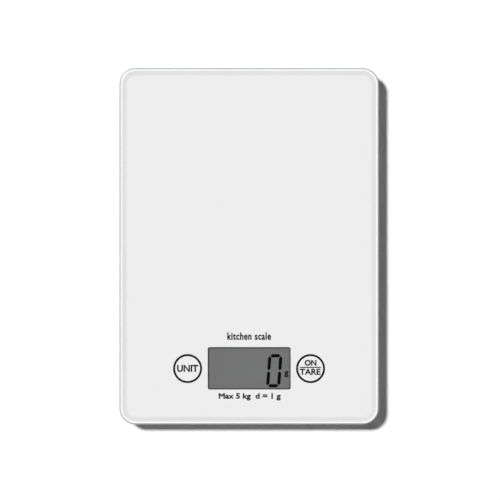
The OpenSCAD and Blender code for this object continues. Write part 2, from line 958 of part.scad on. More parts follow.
// Flat cover with a hinge barrel and two trunnions at the rear, ribs against the cell, and a latch lip
module battery_door() {
    lip_w = 9;
    lip_t = 0.8;
    grip_w = 12;
    grip_t = 0.5;
    grip_pitch = 1.4;
    color(white_abs)
        difference() {
            union() {
                block([-door_w / 2, bay_latch_y, base_z], [door_w / 2, hinge_y, base_z + door_t]);
                translate([-door_w / 2, hinge_y, hinge_z])
                    rotate([0, 90, 0])
                        cylinder(r = hinge_r, h = door_w);
                translate([-door_w / 2 - door_gap - trunnion_l + 0.3, hinge_y, hinge_z])
                    rotate([0, 90, 0])
                        cylinder(r = trunnion_r, h = door_w + 2 * (door_gap + trunnion_l - 0.3));
                // Pads that press the cell against its contact
                for (x = [-5, 5])
                    block([x - 0.6, bay_y - 6, base_z + door_t - 0.2],
                          [x + 0.6, bay_y + 6, coin_z - 0.05]);
            }
            // Finger grooves across the latch end
            for (i = [0:4])
                block([-grip_w / 2, bay_latch_y + 3 + i * grip_pitch, base_z - cut],
                      [grip_w / 2, bay_latch_y + 3 + i * grip_pitch + grip_t, base_z + 0.35]);
            // The two cuts that free the latch tongue
            for (s = [-1, 1])
                block([s * (lip_w / 2 + 0.4) - 0.4, bay_latch_y - cut, base_z - cut],
                      [s * (lip_w / 2 + 0.4) + 0.4, bay_latch_y + 2.2, base_z + door_t + cut]);
            block([-lip_w / 2 - lip_t, bay_latch_y - cut, base_z + door_t - 0.5],
                  [lip_w / 2 + lip_t, bay_latch_y + 0.5, base_z + door_t + cut]);
        }
}

// Can with a rounded edge, and a smaller raised cap facing inwards
module coin_cell() {
    can_t = coin_t - 0.35;
    edge_r = 0.5;
    color([0.82, 0.82, 0.83])
        translate([0, bay_y, coin_z])
            rotate_extrude() {
                translate([0, edge_r])
                    square([coin_d / 2, can_t - edge_r]);
                square([coin_d / 2 - edge_r, can_t]);
                translate([coin_d / 2 - edge_r, edge_r])
                    circle(edge_r);
                square([coin_d / 2 - 1.6, coin_t]);
            }
}

// Upright strip with a bump that bears on the cell's rim, and a solder tab on the bay's seat
module battery_contact_positive() {
    arm_y = bay_y - coin_d / 2 - 0.36;
    low = seat_z + seat_t;
    top = roof_z - 0.2;
    tab = 3.5;
    color([0.83, 0.78, 0.62])
        translate([-positive_w / 2, 0, 0])
            rotate([90, 0, 90])
                linear_extrude(positive_w) {
                    translate([arm_y - tab, low])
                        square([tab, contact_t]);
                    translate([arm_y - contact_t, low])
                        square([contact_t, top - low]);
                    translate([arm_y - 0.05, low + 0.9])
                        circle(0.36);
                }
}

// Flat strip under the roof with a sprung arm that slopes down to the cell's cap
module battery_contact_negative() {
    top = roof_z - 0.05;
    low = top - contact_t;
    cap_z = coin_z + coin_t;
    out = -pocket_r - pocket_wall - 2.2;
    bend = 5;
    tip = -1;
    color([0.83, 0.78, 0.62])
        translate([0, bay_y + negative_w / 2, 0])
            rotate([90, 0, 0])
                linear_extrude(negative_w)
                    polygon([
                        [out, low], [out, top], [bend + contact_t, top],
                        [bend + contact_t, low], [tip, cap_z], [tip, cap_z + contact_t * 0.8],
                        [bend - contact_t, low],
                    ]);
}

// Supply wires: along the floor on the left of the load cell, then up to the board
module supply_wire(start, lane, end_x, tint) {
    color(tint)
        tube(smooth_route(concat(start, [
            [lane, 24, wire_z + 0.1],
            [lane, 4, wire_z + 0.1],
            [lane, -18, wire_z + 0.1],
            [lane, -36, wire_z + 0.1],
            [(lane + end_x) / 2, -47, wire_z - 0.1],
            [end_x, -51.4, wire_z + 0.4],
            [end_x, -53, board_z - 0.4],
        ]), 5), supply_wire_d / 2, 8, [1, 0, 0]);
}

module battery_wire_red() {
    tab_z = seat_z + seat_t + contact_t;
    tab_y = bay_y - coin_d / 2 - 2.6;
    supply_wire([
        [-0.2, tab_y, tab_z + supply_wire_d / 2],
        [-3, tab_y - 0.6, tab_z + supply_wire_d / 2 + 0.2],
        [-11, 40, wire_z + 0.3],
        [-16.6, 34, wire_z + 0.1],
    ], -17, -23, "red");
}

module battery_wire_black() {
    tab_x = -pocket_r - pocket_wall - 1.2;
    tab_z = roof_z - contact_t - 0.05;
    supply_wire([
        [tab_x, bay_y + 1, tab_z - supply_wire_d / 2],
        [tab_x - 0.6, bay_y - 3, tab_z - supply_wire_d / 2 - 0.2],
        [-18.6, 47, wire_z + 0.4],
        [-18.8, 36, wire_z + 0.1],
    ], -18.8, -26, "dimgray");
}

// ---- Selection ----------------------------------------------------------------------------------------

glass_platform();
printed_film();
mounting_tape();
platform_plate();
platform_spacer();
platform_screws();
load_cell();
strain_gauges();
gauge_sealant();
load_cell_base_plate();
load_cell_screws();
load_cell_wire_red();
load_cell_wire_black();
load_cell_wire_white();
load_cell_wire_green();
display_frame();
frame_tape();
lcd_front_polariser();
lcd_front_glass();
lcd_rear_glass();
lcd_rear_reflector();
zebra_strips();
circuit_board();
board_screws();
touch_spring_left();
touch_spring_right();
chip_glob_top();
converter_chip();
board_capacitors();
board_resistors();
base_shell();
foot_front_left();
foot_front_right();
foot_rear_left();
foot_rear_right();
battery_door();
coin_cell();
battery_contact_positive();
battery_contact_negative();
battery_wire_red();
battery_wire_black();
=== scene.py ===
"""Looks of the slim kitchen scale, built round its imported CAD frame. Lengths are in metres."""

import json
import math

import bmesh
import bpy
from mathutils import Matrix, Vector
from mathutils.geometry import delaunay_2d_cdt


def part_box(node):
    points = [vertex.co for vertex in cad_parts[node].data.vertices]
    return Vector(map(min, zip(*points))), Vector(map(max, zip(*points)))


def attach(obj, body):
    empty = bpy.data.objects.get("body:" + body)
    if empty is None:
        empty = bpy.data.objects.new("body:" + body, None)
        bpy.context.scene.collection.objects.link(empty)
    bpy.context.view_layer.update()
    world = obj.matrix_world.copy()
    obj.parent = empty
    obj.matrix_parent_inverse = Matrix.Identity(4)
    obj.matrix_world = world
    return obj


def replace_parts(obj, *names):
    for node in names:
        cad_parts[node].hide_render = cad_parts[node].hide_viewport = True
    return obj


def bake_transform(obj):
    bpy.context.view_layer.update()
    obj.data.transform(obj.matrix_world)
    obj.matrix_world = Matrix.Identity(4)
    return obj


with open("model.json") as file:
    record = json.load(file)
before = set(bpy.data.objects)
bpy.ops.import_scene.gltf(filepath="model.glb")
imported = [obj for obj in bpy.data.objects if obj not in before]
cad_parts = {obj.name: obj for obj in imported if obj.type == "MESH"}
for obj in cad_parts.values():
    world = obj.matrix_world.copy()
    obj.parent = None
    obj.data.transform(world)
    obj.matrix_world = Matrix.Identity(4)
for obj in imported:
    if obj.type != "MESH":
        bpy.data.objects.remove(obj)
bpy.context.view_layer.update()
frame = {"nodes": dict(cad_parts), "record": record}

MM = 0.001
NODES = frame["nodes"]

# ---- Places, read from the CAD frame -------------------------------------------------------------

GLASS_LOW, GLASS_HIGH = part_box("glass_platform")
FILM_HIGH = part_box("printed_film")[1]
POLARISER_LOW, POLARISER_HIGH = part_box("lcd_front_polariser")
DISPLAY_Y = (POLARISER_LOW.y + POLARISER_HIGH.y) / 2
KEY_X = sum(corner.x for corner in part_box("touch_spring_right")) / 2
NODE_SLOTS = {row["node"]: row["material_slot"] for row in frame["record"]["subparts"]}
WIRES = [node for node in NODE_SLOTS if "_wire_" in node]

GLASS_CORNER = 9 * MM
# Width of the ground side of the glass, seen from above, and the radius of the ground edge under it
GROUND_W = 0.75 * MM
ARRIS_R = 0.8 * MM
WINDOW_W = 45.2 * MM
WINDOW_D = 23 * MM

# The film is bonded to the glass, so the glass reaches a little into it and no air is left between.
# Ink lies on the film, inside the glass.
BOND = 0.05 * MM
INK_GAP = 0.01 * MM
INK_T = 0.03 * MM
SEGMENT_T = 0.02 * MM
GLASS_BOTTOM = FILM_HIGH.z - BOND
INK_Z = FILM_HIGH.z + INK_GAP


# ---- Materials -----------------------------------------------------------------------------------


MAP_RANGE = ("From Min", "From Max", "To Min", "To Max")


class Shader:
    """A material with one Principled shader, and short ways to add patterns to it.

    Scales of patterns are in features per metre, roughly, and depths of relief in metres.
    """

    def __init__(self, name, colour, roughness, metallic=0.0, **sockets):
        self.material = bpy.data.materials.new(name)
        self.material.use_nodes = True
        self.tree = self.material.node_tree
        self.tree.nodes.clear()
        self.output = self.tree.nodes.new("ShaderNodeOutputMaterial")
        self.principled = self.tree.nodes.new("ShaderNodeBsdfPrincipled")
        self.link(self.principled.outputs[0], self.output.inputs["Surface"])
        self.colour = (*colour, 1.0)
        self.roughness = roughness
        self.set("Base Color", self.colour)
        self.set("Roughness", roughness)
        self.set("Metallic", metallic)
        for socket, value in sockets.items():
            self.set(socket.replace("_", " "), value)
        self.place = self.tree.nodes.new("ShaderNodeTexCoord").outputs["Object"]

    def set(self, socket, value):
        self.principled.inputs[socket].default_value = value

    def link(self, start, end):
        self.tree.links.new(start, end)

    def stretched(self, scale):
        """The object's coordinates, scaled differently along its three axes."""
        node = self.tree.nodes.new("ShaderNodeMapping")
        node.inputs["Scale"].default_value = scale
        self.link(self.place, node.inputs["Vector"])
        return node.outputs[0]

    def noise(self, scale, detail=3.0, place=None, roughness=0.5):
        node = self.tree.nodes.new("ShaderNodeTexNoise")
        node.inputs["Scale"].default_value = scale
        node.inputs["Detail"].default_value = detail
        node.inputs["Roughness"].default_value = roughness
        self.link(place or self.place, node.inputs["Vector"])
        return node.outputs[0]

    def cells(self, scale, feature="F1", place=None, metric="EUCLIDEAN"):
        """Distance to the nearest (F1) or next nearest (F2) point of a scattering."""
        node = self.tree.nodes.new("ShaderNodeTexVoronoi")
        node.feature, node.distance = feature, metric
        node.inputs["Scale"].default_value = scale
        self.link(place or self.place, node.inputs["Vector"])
        return node.outputs["Distance"]

    def spread(self, value, low, high, start=0.3, end=0.7):
        """value, taken from start..end to low..high."""
        node = self.tree.nodes.new("ShaderNodeMapRange")
        for socket, number in zip(MAP_RANGE, (start, end, low, high)):
            node.inputs[socket].default_value = number
        self.link(value, node.inputs["Value"])
        return node.outputs[0]

    def maths(self, operation, *operands):
        """One sum on two values, each a number or another node's output."""
        node = self.tree.nodes.new("ShaderNodeMath")
        node.operation = operation
        for socket, operand in zip(node.inputs, operands):
            if isinstance(operand, float):
                socket.default_value = operand
            else:
                self.link(operand, socket)
        return node.outputs[0]

    def waves(self, scale):
        """Stripes across the x axis."""
        node = self.tree.nodes.new("ShaderNodeTexWave")
        node.bands_direction = "X"
        node.inputs["Scale"].default_value = scale
        self.link(self.place, node.inputs["Vector"])
        return node.outputs["Fac"]

    def inward(self, half_w, half_d, corner):
        """Distance inside a rounded rectangle centred on the origin, up to its corner radius."""
        split = self.tree.nodes.new("ShaderNodeSeparateXYZ")
        self.link(self.place, split.inputs[0])
        join = self.tree.nodes.new("ShaderNodeCombineXYZ")
        for axis, half in (("X", half_w), ("Y", half_d)):
            past = self.maths("SUBTRACT", self.maths("ABSOLUTE", split.outputs[axis]), half - corner)
            self.link(self.maths("MAXIMUM", past, 0.0), join.inputs[axis])
        length = self.tree.nodes.new("ShaderNodeVectorMath")
        length.operation = "LENGTH"
        self.link(join.outputs[0], length.inputs[0])
        return self.maths("SUBTRACT", corner, length.outputs["Value"])

    def tint(self, share, other):
        """Blends the base colour towards another by a pattern."""
        node = self.tree.nodes.new("ShaderNodeMix")
        node.data_type = "RGBA"
        now = self.principled.inputs["Base Color"]
        if now.is_linked:
            self.link(now.links[0].from_socket, node.inputs[6])
            self.tree.links.remove(now.links[0])
        else:
            node.inputs[6].default_value = self.colour
        node.inputs[7].default_value = (*other, 1.0)
        self.link(share, node.inputs[0])
        self.link(node.outputs[2], self.principled.inputs["Base Color"])

    def vary_roughness(self, value, amount):
        """Lets the roughness wander by this amount either way."""
        low = max(self.roughness - amount, 0.02)
        self.link(self.spread(value, low, self.roughness + amount), self.principled.inputs["Roughness"])

    def bump(self, value, depth):
        """Adds relief of about this depth."""
        node = self.tree.nodes.new("ShaderNodeBump")
        node.inputs["Strength"].default_value = 1.0
        node.inputs["Distance"].default_value = depth
        self.link(value, node.inputs["Height"])
        normal = self.principled.inputs["Normal"]
        if normal.is_linked:
            self.link(normal.links[0].from_socket, node.inputs["Normal"])
            self.tree.links.remove(normal.links[0])
        self.link(node.outputs[0], normal)

    def mix_shaders(self, chooser, first, second):
        """Shows the first shader where the chooser is 0 and the second where it is 1."""
        mix = self.tree.nodes.new("ShaderNodeMixShader")
        for start, socket in zip((chooser, first, second), mix.inputs):
            self.link(start, socket)
        return mix.outputs[0]

    def clear(self, colour=(1.0, 1.0, 1.0)):
        """A shader that lets rays straight through."""
        node = self.tree.nodes.new("ShaderNodeBsdfTransparent")
        node.inputs["Color"].default_value = (*colour, 1.0)
        return node.outputs[0]


def shade(colour, factor):
    return tuple(min(c * factor, 1.0) for c in colour)


def moulded_plastic(name, colour):
    """Spark-eroded mould grain, faint flow mottling and fine handling scuffs."""
    s = Shader(name, colour, 0.42, Specular_IOR_Level=0.45)
    s.tint(s.spread(s.noise(45, 4), 0.0, 0.5), shade(colour, 0.93))
    scuffs = s.noise(160, 5, s.stretched((1.0, 9.0, 1.0)), 0.65)
    s.vary_roughness(scuffs, 0.09)
    s.bump(s.noise(2600, 2), 0.03 * MM)
    s.bump(s.spread(scuffs, 0, 1, 0.62, 0.7), 0.003 * MM)
    return s.material


def rubber(name, colour, roughness=0.78):
    """Dull, with a matt bloom and a fine cast texture."""
    s = Shader(name, colour, roughness, Specular_IOR_Level=0.3, Sheen_Weight=0.08)
    s.tint(s.spread(s.noise(320, 4), 0.0, 0.6), shade(colour, 1.7))
    s.vary_roughness(s.noise(700, 3), 0.1)
    s.bump(s.noise(2200, 3), 0.02 * MM)
    s.bump(s.cells(1400), 0.01 * MM)
    return s.material


def metal(name, colour, roughness=0.3, lay=(1.0, 40.0, 1.0), depth=0.004 * MM):
    """Drawn or milled metal: fine lines along one axis, and a cloudy plated sheen."""
    s = Shader(name, colour, roughness, metallic=1.0)
    lines = s.noise(260, 4, s.stretched(lay), 0.6)
    s.tint(s.spread(s.noise(70, 4), 0.0, 0.3), shade(colour, 0.78))
    s.vary_roughness(lines, 0.12)
    s.bump(lines, depth)
    s.bump(s.noise(3500, 2), depth / 8)
    return s.material


def ink(name, colour, roughness=0.75, gloss=0.1):
    """Screen-printed ink: a nearly even film with a faint mesh pattern."""
    s = Shader(name, colour, roughness, Specular_IOR_Level=gloss)
    s.tint(s.spread(s.noise(900, 3), 0.0, 0.4), shade(colour, 1.6))
    s.vary_roughness(s.noise(1500, 2), 0.06)
    s.bump(s.noise(5000, 1), 0.002 * MM)
    return s.material


def white_print():
    """The white print under the glass, with a painted highlight round its rim and a line of painted
    shade under the bevel.
    """
    s = Shader("white_print", (0.865, 0.846, 0.851), 0.7, Specular_IOR_Level=0.1)
    inward = s.inward(GLASS_HIGH.x, GLASS_HIGH.y, GLASS_CORNER)
    # Painted light: a grey band of painted shade under the glass's bevel, and a white band of painted
    # highlight under its rounded edge
    painted_bevel_shade = s.spread(inward, 1.0, 0.0, 3.6 * MM, 4.3 * MM)
    painted_rim_highlight = s.spread(inward, 1.0, 0.0, 1.5 * MM, 1.9 * MM)
    # Painted shade, then painted highlight, tinted into the print's own colour
    s.tint(painted_bevel_shade, (0.745, 0.728, 0.733))
    s.tint(painted_rim_highlight, (0.99, 0.985, 0.985))
    s.tint(s.spread(s.noise(14, 3), 0.0, 0.3), (0.88, 0.861, 0.866))
    s.tint(s.spread(s.noise(1800, 2), 0.0, 0.1), (0.82, 0.80, 0.805))
    s.vary_roughness(s.noise(600, 3), 0.05)
    s.bump(s.cells(2600), 0.003 * MM)
    return s.material


def let_light_through(s):
    """Lamps and soft light pass the glass unbent, and so reach the print under it."""
    clear = s.clear((0.965, 0.975, 0.972))
    rays = s.tree.nodes.new("ShaderNodeLightPath")
    shown = s.principled.outputs[0]
    for kind in ("Is Shadow Ray", "Is Diffuse Ray"):
        shown = s.mix_shaders(rays.outputs[kind], shown, clear)
    s.link(shown, s.output.inputs["Surface"])
    return s.material


def platform_glass():
    """Clear tempered glass, barely green, with faint roller waves."""
    s = Shader("platform_glass", (0.975, 0.992, 0.985), 0.0, Transmission_Weight=1.0, IOR=1.5)
    s.bump(s.noise(18, 1), 0.01 * MM)
    return let_light_through(s)


def shaded_ground_edge(name):
    """The glass's finely ground side, frosted and a little grey-green, and darkened to a dark grey as
    painted shade of its steep edge.
    """
    # Dark grey base colour: painted shade of the steep glass edge, over the frosted glass's own
    # grey-green
    s = Shader(name, (0.38, 0.40, 0.395), 0.5, Transmission_Weight=0.2, IOR=1.5)
    s.tint(s.spread(s.noise(400, 4), 0.0, 0.4), (0.45, 0.475, 0.465))
    s.vary_roughness(s.noise(900, 3), 0.1)
    s.bump(s.noise(3000, 3), 0.01 * MM)
    return s


def display_glass():
    """The two thin plates of the display."""
    s = Shader("display_glass", (0.9, 0.95, 0.93), 0.02, Transmission_Weight=0.9, IOR=1.5)
    s.tint(s.spread(s.noise(60, 2), 0.0, 0.3), (0.8, 0.9, 0.86))
    s.bump(s.noise(120, 2), 0.002 * MM)
    return s.material


def polariser():
    """The grey film of the display, with an anti-glare grain."""
    s = Shader("polariser", (0.176, 0.172, 0.173), 0.75, Specular_IOR_Level=0.1)
    s.tint(s.spread(s.noise(35, 3), 0.0, 0.5), (0.19, 0.187, 0.187))
    s.vary_roughness(s.noise(900, 2), 0.06)
    s.bump(s.noise(6000, 2), 0.002 * MM)
    return s.material


def circuit_board():
    """Green solder mask over copper tracks that run square and at 45 degrees."""
    mask = (0.012, 0.12, 0.05)
    s = Shader("circuit_board", mask, 0.32, Coat_Weight=0.3, Coat_Roughness=0.2)
    flat = s.stretched((1.0, 1.0, 0.0))
    near, next_near = (s.cells(300, feature, flat, "MANHATTAN") for feature in ("F1", "F2"))
    tracks = s.spread(s.maths("SUBTRACT", next_near, near), 1.0, 0.0, 0.05, 0.07)
    vias = s.spread(near, 1.0, 0.0, 0.1, 0.12)
    s.tint(tracks, (0.03, 0.22, 0.09))
    s.tint(vias, (0.42, 0.40, 0.36))
    s.tint(s.spread(s.noise(2500, 2), 0.0, 0.3), shade(mask, 0.6))
    s.vary_roughness(s.noise(400, 3), 0.06)
    s.bump(tracks, 0.03 * MM)
    s.bump(s.noise(3000, 2), 0.004 * MM)
    return s.material


def layered_rubber():
    """Elastomer connector: alternate conducting and insulating layers along its length."""
    s = Shader("zebra_rubber", (0.72, 0.42, 0.45), 0.6, Specular_IOR_Level=0.3)
    layers = s.waves(420)
    s.tint(s.spread(layers, 0.0, 1.0, 0.55, 0.65), (0.05, 0.045, 0.05))
    s.bump(layers, 0.01 * MM)
    s.vary_roughness(s.noise(900, 2), 0.08)
    return s.material


def foam():
    """Open-celled, pale and dull."""
    s = Shader("foam_tape", (0.8, 0.8, 0.78), 0.85, Specular_IOR_Level=0.2)
    s.tint(s.spread(s.cells(2600), 0.0, 0.5), (0.62, 0.62, 0.6))
    s.bump(s.cells(2600), 0.05 * MM)
    s.vary_roughness(s.noise(500, 3), 0.08)
    return s.material


def ceramic(name, colour):
    """The dull fired body of a small chip part."""
    s = Shader(name, colour, 0.45)
    s.tint(s.spread(s.noise(2500, 3), 0.0, 0.6), shade(colour, 1.5))
    s.vary_roughness(s.noise(1500, 3), 0.1)
    s.bump(s.noise(4000, 3), 0.01 * MM)
    return s.material


def vinyl(name, colour):
    """The insulation of a wire."""
    s = Shader(name, colour, 0.38, Specular_IOR_Level=0.5)
    s.tint(s.spread(s.noise(500, 3), 0.0, 0.5), shade(colour, 0.75))
    s.vary_roughness(s.noise(900, 3), 0.08)
    s.bump(s.noise(1800, 2), 0.01 * MM)
    return s.material


def gauge_foil():
    """Amber carrier film with the grid of the strain gauge."""
    s = Shader("gauge_foil", (0.62, 0.34, 0.08), 0.35, Coat_Weight=0.4)
    grid = s.waves(700)
    s.tint(s.spread(grid, 0.0, 0.7, 0.5, 0.6), (0.25, 0.2, 0.13))
    s.vary_roughness(s.noise(900, 2), 0.08)
    s.bump(grid, 0.004 * MM)
    return s.material


# The finished material of each material slot of the CAD
SLOT_MATERIALS = {
    "clear_glass": platform_glass(),
    "white_print": white_print(),
    "foam_tape": foam(),
    "plate_steel": metal("plate_steel", (0.62, 0.63, 0.65), 0.34, (1.0, 30.0, 1.0)),
    "screw_steel": metal("screw_steel", (0.58, 0.58, 0.6), 0.28, (6.0, 6.0, 1.0)),
    "beam_aluminium": metal("beam_aluminium", (0.78, 0.79, 0.8), 0.3, (30.0, 1.0, 30.0), 0.006 * MM),
    "gauge_foil": gauge_foil(),
    "white_silicone": rubber("white_silicone", (0.55, 0.55, 0.53), 0.5),
    "red_wire": vinyl("red_wire", (0.62, 0.03, 0.02)),
    "black_wire": vinyl("black_wire", (0.02, 0.02, 0.022)),
    "white_wire": vinyl("white_wire", (0.78, 0.78, 0.75)),
    "green_wire": vinyl("green_wire", (0.02, 0.3, 0.08)),
    "white_abs": moulded_plastic("white_abs", (0.80, 0.80, 0.785)),
    "adhesive_film": ink("adhesive_film", (0.6, 0.52, 0.36), 0.6, 0.3),
    "lcd_grey": polariser(),
    "lcd_glass": display_glass(),
    "lcd_reflector": metal("lcd_reflector", (0.5, 0.52, 0.5), 0.5, (1.0, 1.0, 1.0)),
    "zebra_rubber": layered_rubber(),
    "green_board": circuit_board(),
    "spring_steel": metal("spring_steel", (0.7, 0.7, 0.72), 0.2, (1.0, 1.0, 8.0)),
    "black_epoxy": ink("black_epoxy", (0.012, 0.012, 0.013), 0.18, 0.5),
    "chip_body": ink("chip_body", (0.018, 0.018, 0.019), 0.5, 0.4),
    "tan_ceramic": ceramic("tan_ceramic", (0.42, 0.26, 0.13)),
    "black_ceramic": ceramic("black_ceramic", (0.02, 0.02, 0.022)),
    "foot_rubber": rubber("foot_rubber", (0.05, 0.05, 0.053)),
    "coin_steel": metal("coin_steel", (0.68, 0.68, 0.69), 0.24, (1.0, 1.0, 1.0)),
    "contact_nickel": metal("contact_nickel", (0.7, 0.64, 0.5), 0.25, (30.0, 1.0, 1.0)),
}
# Looks of details that lie in another material's slot
ETCHED_STEEL = metal("etched_steel", (0.26, 0.26, 0.27), 0.6)
BLACK_INK = ink("black_ink", (0.008, 0.008, 0.009))
# The ground side and its lower edge: frosted glass, darkened with painted shade
SHADED_GROUND_SIDE = let_light_through(shaded_ground_edge("shaded_ground_side"))
SHADED_GROUND_ARRIS = shaded_ground_edge("shaded_ground_arris").material
# Dark grey ring round the display window: partly a printed border, partly painted shade of the window's
# edge
BORDER_INK_AND_SHADE = ink("border_ink_and_shade", (0.045, 0.045, 0.045))
SEGMENT_INK = ink("segment_black", (0.0012, 0.0012, 0.0013), 0.8, 0.02)


# ---- Mesh tools ----------------------------------------------------------------------------------


def placed(name, data):
    """A new object in the scene."""
    made = bpy.data.objects.new(name, data)
    bpy.context.scene.collection.objects.link(made)
    return made


def free_piece(name, mesh, slot, material=None):
    """A piece that rides on nothing yet."""
    piece = placed(name, mesh)
    mesh.materials.clear()
    mesh.materials.append(material or SLOT_MATERIALS[slot])
    return piece


def new_piece(name, mesh, body, slot, material=None):
    piece = free_piece(name, mesh, slot, material)
    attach(piece, body)
    return piece


def mesh_from(name, bm, smooth_under=30):
    """Turns a bmesh into a mesh that is smooth except across edges sharper than the given angle."""
    bmesh.ops.recalc_face_normals(bm, faces=bm.faces)
    mesh = bpy.data.meshes.new(name)
    bm.to_mesh(mesh)
    bm.free()
    mesh.shade_smooth()
    mesh.set_sharp_from_angle(angle=math.radians(smooth_under))
    return mesh


def rounded_loop(w, d, r, steps):
    """Points round a rectangle with rounded corners, counter-clockwise."""
    points = []
    for corner, (sx, sy) in enumerate(((1, 1), (-1, 1), (-1, -1), (1, -1))):
        for i in range(steps + 1):
            a = math.radians(90 * (corner + i / steps))
            points.append((sx * (w / 2 - r) + r * math.cos(a), sy * (d / 2 - r) + r * math.sin(a)))
    return points


def raise_faces(bm, faces, z):
    """Extrudes flat faces up or down to a height, into a closed solid."""
    for part in bmesh.ops.extrude_face_region(bm, geom=faces)["geom"]:
        if isinstance(part, bmesh.types.BMVert):
            part.co.z = z


def extruded(loops, z0, z1):
    """A bmesh of the area inside the first loop and outside the others, from z0 to z1."""
    bm = bmesh.new()
    edges = []
    for loop in loops:
        ring = [bm.verts.new((x, y, z0)) for x, y in loop]
        edges += [bm.edges.new((a, b)) for a, b in zip(ring, ring[1:] + ring[:1])]
    filled = bmesh.ops.triangle_fill(bm, use_beauty=True, edges=edges)["geom"]
    raise_faces(bm, [part for part in filled if isinstance(part, bmesh.types.BMFace)], z1)
    return bm


def circle_loop(r, steps, centre):
    angles = [math.tau * i / steps for i in range(steps)]
    return [(centre[0] + r * math.cos(a), centre[1] + r * math.sin(a)) for a in angles]


def moved(loop, x, y):
    return [(px + x, py + y) for px, py in loop]


def arc(centre, r, start, end, steps):
    """Points on a circle from one angle to another, in degrees."""
    angles = [math.radians(start + (end - start) * i / steps) for i in range(steps + 1)]
    return [(centre[0] + r * math.cos(a), centre[1] + r * math.sin(a)) for a in angles]


def middle(low, high):
    """The centre of a box in plan."""
    return (low.x + high.x) / 2, (low.y + high.y) / 2


# ---- Platform ------------------------------------------------------------------------------------


def glass_edge():
    """(inset from the outline, height) up the ground side and over the shallow bevel."""
    low, high = GLASS_BOTTOM, GLASS_HIGH.z
    shoulder = high - 0.35 * MM
    lower = [(1.1 * MM, low)] + arc((ARRIS_R, low + ARRIS_R), ARRIS_R, 270, 180, 8)
    upper = arc((1.3 * MM, shoulder - 1.3 * MM), 1.3 * MM, 180, 97, 10)
    bevel_end = [(3.5, 0.04), (3.65, 0.018), (3.8, 0.0), (4.1, 0.0)]
    return lower + upper + [(inset * MM, high - drop * MM) for inset, drop in bevel_end]


def build_glass():
    """The pane: flat faces above and below, and a ground side whose lower edge throws a shadow."""
    w, d = GLASS_HIGH.x - GLASS_LOW.x, GLASS_HIGH.y - GLASS_LOW.y
    bm = bmesh.new()
    rings = []
    for inset, z in glass_edge():
        loop = rounded_loop(w - 2 * inset, d - 2 * inset, GLASS_CORNER - inset, 20)
        rings.append([bm.verts.new((x, y, z)) for x, y in loop])
    for low, high in zip(rings, rings[1:]):
        for i in range(len(low)):
            j = (i + 1) % len(low)
            bm.faces.new((low[i], low[j], high[j], high[i]))
    bm.faces.new(rings[-1])
    bm.faces.new(rings[0][::-1])
    mesh = mesh_from("glass_pane", bm)
    glass = new_piece("glass_pane", mesh, "platform", "clear_glass")
    mesh.materials.append(SHADED_GROUND_SIDE)
    mesh.materials.append(SHADED_GROUND_ARRIS)
    flat_x, flat_y = GLASS_HIGH.x - GLASS_CORNER, GLASS_HIGH.y - GLASS_CORNER
    for face in mesh.polygons:
        past = Vector((max(abs(face.center.x) - flat_x, 0), max(abs(face.center.y) - flat_y, 0)))
        if len(face.vertices) > 4:
            face.use_smooth = False
        elif past.length > GLASS_CORNER - GROUND_W:
            face.material_index = 2 if face.center.z < GLASS_BOTTOM + ARRIS_R else 1
    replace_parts(glass, "glass_platform")


def printed(name, loops, material):
    """Ink on the film, inside the first loop and outside the others."""
    mesh = mesh_from(name, extruded(loops, INK_Z, INK_Z + INK_T))
    new_piece(name, mesh, "platform", "white_print", material)


# In mm and mm2: points closer than this are one, and faces smaller than this are left out
SAME_POINT = 1e-5
SLIVER = 1e-4
# A corner moves out by at most the growth over this, however sharp it is, and where its two sides
# point in opposite ways it follows one of them
LEAST_CORNER = 0.6
OPPOSITE = 0.01


def letter_shapes(words, width, height, spacing):
    """Flat letters of the built-in font, stretched to a size and centred on the origin, in mm."""
    curve = bpy.data.curves.new(words, "FONT")
    curve.body = words
    curve.space_character = spacing
    curve.resolution_u = 4
    text = placed(words, curve)
    mesh = final_mesh(text)
    bpy.data.objects.remove(text)
    bpy.data.curves.remove(curve)
    bm = bmesh.new()
    bm.from_mesh(mesh)
    bpy.data.meshes.remove(mesh)
    bmesh.ops.remove_doubles(bm, verts=bm.verts, dist=SAME_POINT)
    for axis, size in ((0, width), (1, height)):
        low = min(v.co[axis] for v in bm.verts)
        high = max(v.co[axis] for v in bm.verts)
        for v in bm.verts:
            v.co[axis] = (v.co[axis] - (high + low) / 2) * size / (high - low)
    return bm


def area_of(ring):
    """Signed area, positive where the ring runs anticlockwise."""
    return sum(a.x * b.y - b.x * a.y for a, b in zip(ring, ring[1:] + ring[:1])) / 2


def thickened(bm, grow):
    """Points and polygons of flat shapes with a strip added outside each edge of their outline."""
    bm.verts.index_update()
    points = [v.co.xy.copy() for v in bm.verts]
    rings = [[loop.vert for loop in face.loops] for face in bm.faces]
    if sum(area_of([v.co for v in ring]) for ring in rings) < 0:
        rings = [ring[::-1] for ring in rings]
    polygons = [[v.index for v in ring] for ring in rings if area_of([v.co for v in ring]) > SLIVER]
    outward = {}
    outline = []
    for ring in rings:
        for a, b in zip(ring, ring[1:] + ring[:1]):
            if len(bm.edges.get((a, b)).link_faces) == 1:
                along = (b.co - a.co).xy.normalized()
                side = Vector((along.y, -along.x))
                outline.append((a, b))
                outward.setdefault(a, []).append(side)
                outward.setdefault(b, []).append(side)
    # Every outline point has a second point straight out from its corner
    shifted = {}
    for vert, sides in outward.items():
        corner = sum(sides, Vector((0, 0)))
        corner = corner.normalized() if corner.length > OPPOSITE else sides[0]
        shifted[vert] = len(points)
        points.append(vert.co.xy + corner * grow / max(LEAST_CORNER, corner.dot(sides[0])))
    strips = [[shifted[a], shifted[b], b.index, a.index] for a, b in outline]
    polygons += [strip for strip in strips if area_of([points[i] for i in strip]) > SLIVER]
    return points, polygons


